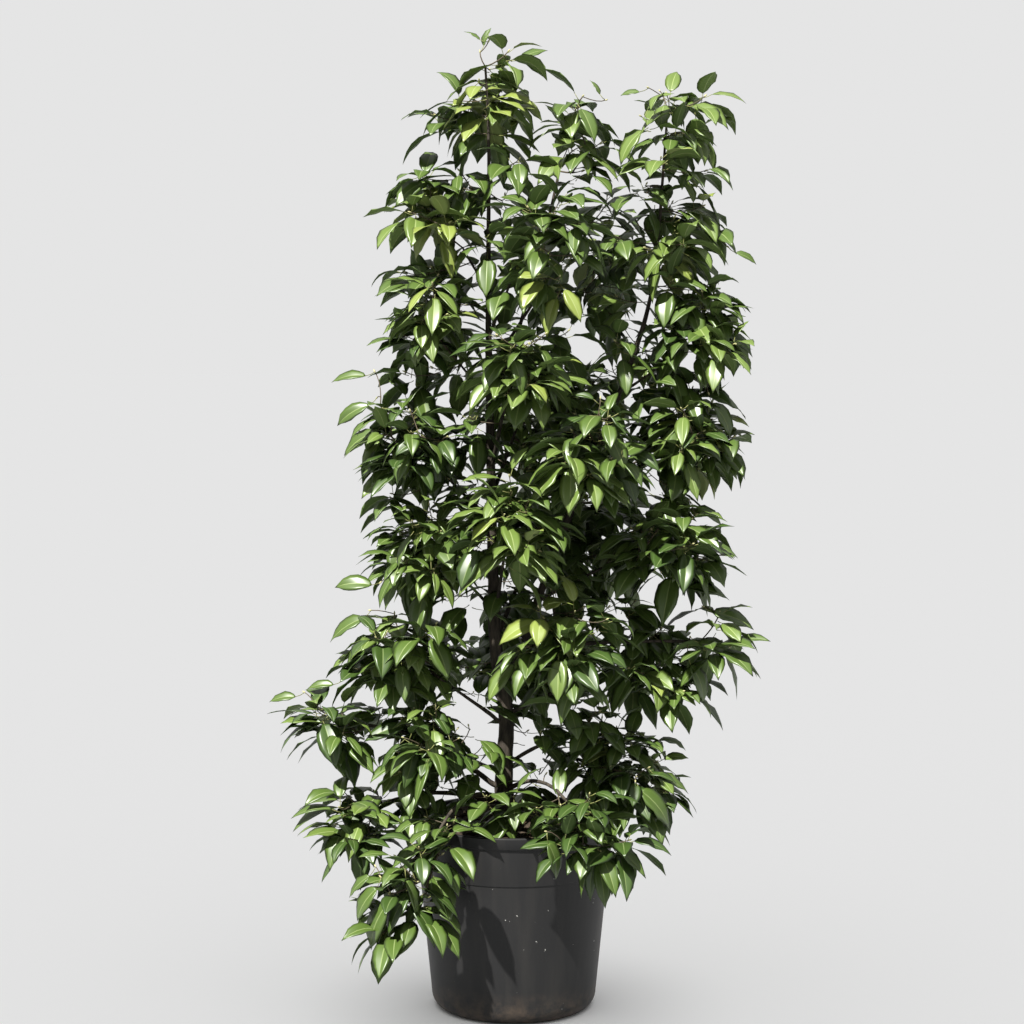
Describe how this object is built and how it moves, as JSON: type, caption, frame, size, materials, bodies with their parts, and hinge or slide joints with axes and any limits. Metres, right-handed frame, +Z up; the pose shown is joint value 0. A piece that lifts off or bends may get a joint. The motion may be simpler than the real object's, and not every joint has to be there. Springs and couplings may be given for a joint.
{
  "type": "potted camphor tree",
  "caption": "Tall young evergreen tree with two leaders and clusters of glossy pointed leaves, standing in a plain dark round nursery pot of compost.",
  "frame": {"origin": "centre of the pot's flat underside", "axes": "+Z up along the pot's axis; -Y is the side with the two low clusters that hang over the pot's rim; +X is the side towards which the second leader leans"},
  "size_m": [1.0624, 0.8434, 2.1777],
  "materials": {
    "pot": "satin, dusty",
    "compost": "crumbly, matt",
    "bark": "rough bark",
    "foliage": "glossy leaves"
  },
  "bodies": {
    "root": {"bough_back_belly": "bark", "bough_back_low": "bark", "bough_back_upper": "bark", "bough_back_waist": "bark", "bough_front_belly": "bark", "bough_front_hip": "bark", "bough_front_shoulder": "bark", "bough_front_upper": "bark", "bough_front_waist": "bark", "bough_left_arm": "bark", "bough_left_belly": "bark", "bough_left_foot": "bark", "bough_left_hip": "bark", "bough_left_low": "bark", "bough_left_shoulder": "bark", "bough_left_upper": "bark", "bough_left_waist": "bark", "bough_middle_tip": "bark", "bough_pot_left": "bark", "bough_pot_right": "bark", "bough_right_belly": "bark", "bough_right_hip": "bark", "bough_right_low": "bark", "bough_right_shoulder": "bark", "bough_right_spray": "bark", "bough_right_waist": "bark", "compost": "compost", "foliage_back_belly": "foliage", "foliage_back_low": "foliage", "foliage_back_upper": "foliage", "foliage_back_waist": "foliage", "foliage_front_belly": "foliage", "foliage_front_hip": "foliage", "foliage_front_shoulder": "foliage", "foliage_front_upper": "foliage", "foliage_front_waist": "foliage", "foliage_left_arm": "foliage", "foliage_left_belly": "foliage", "foliage_left_foot": "foliage", "foliage_left_hip": "foliage", "foliage_left_low": "foliage", "foliage_left_shoulder": "foliage", "foliage_left_tip": "foliage", "foliage_left_upper": "foliage", "foliage_left_waist": "foliage", "foliage_middle_tip": "foliage", "foliage_pot_left": "foliage", "foliage_pot_right": "foliage", "foliage_right_belly": "foliage", "foliage_right_hip": "foliage", "foliage_right_low": "foliage", "foliage_right_shoulder": "foliage", "foliage_right_spray": "foliage", "foliage_right_tip": "foliage", "foliage_right_upper": "foliage", "foliage_right_waist": "foliage", "pot": "pot", "right_stem": "bark", "trunk": "bark"}
  },
  "joints": []
}
